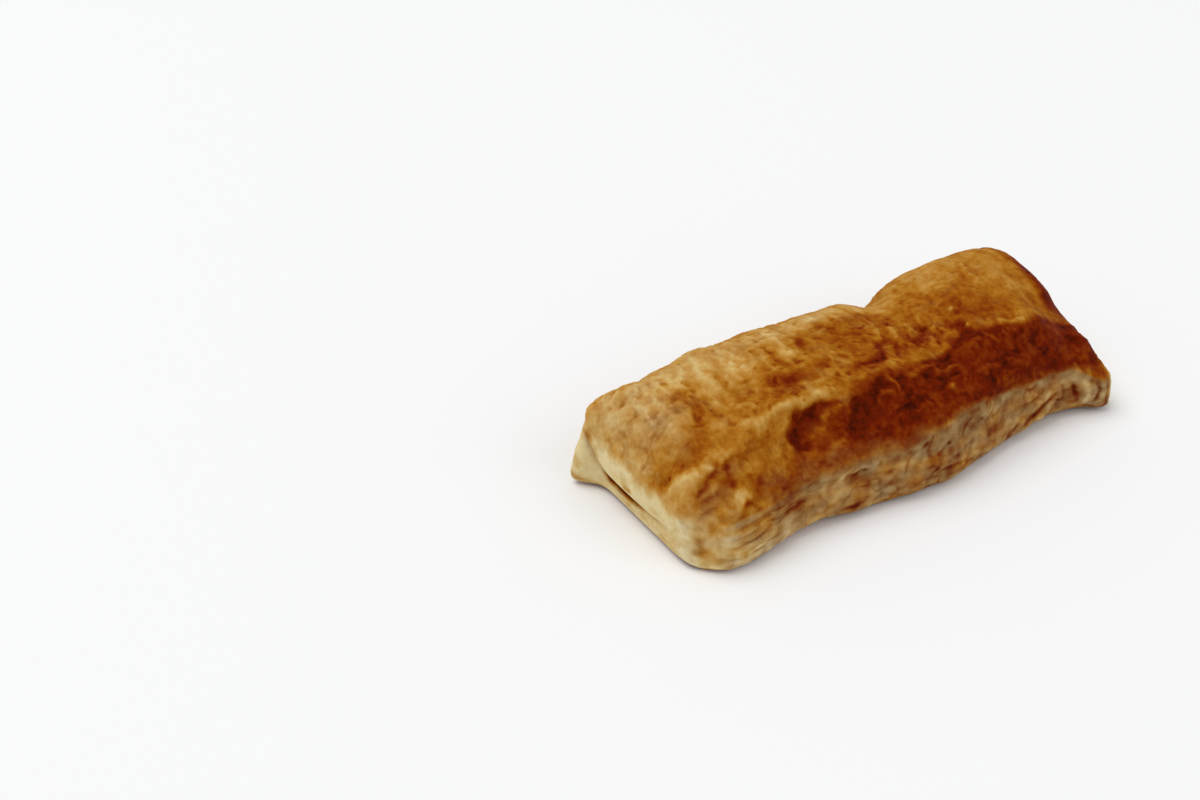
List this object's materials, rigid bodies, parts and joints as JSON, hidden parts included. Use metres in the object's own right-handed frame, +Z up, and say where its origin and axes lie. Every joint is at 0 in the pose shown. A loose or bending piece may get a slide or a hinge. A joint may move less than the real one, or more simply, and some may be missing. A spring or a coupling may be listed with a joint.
{
  "type": "sausage roll",
  "caption": "Baked oblong puff pastry roll with a browned, blistered top, a pale layered seam side and a slit between its layers at one end.",
  "frame": {"origin": "on the surface it rests on, under the middle of the roll's bounding box", "axes": "+X along the roll, away from the end with the open slit; +Y from the seam side to the folded back; +Z up"},
  "size_m": [0.131, 0.0536, 0.029],
  "materials": {
    "pastry": "baked puff pastry: golden to dark brown egg-washed crust with a soft gloss, cream to tan layered sides"
  },
  "bodies": {
    "root": {"pastry": "pastry"}
  },
  "joints": []
}
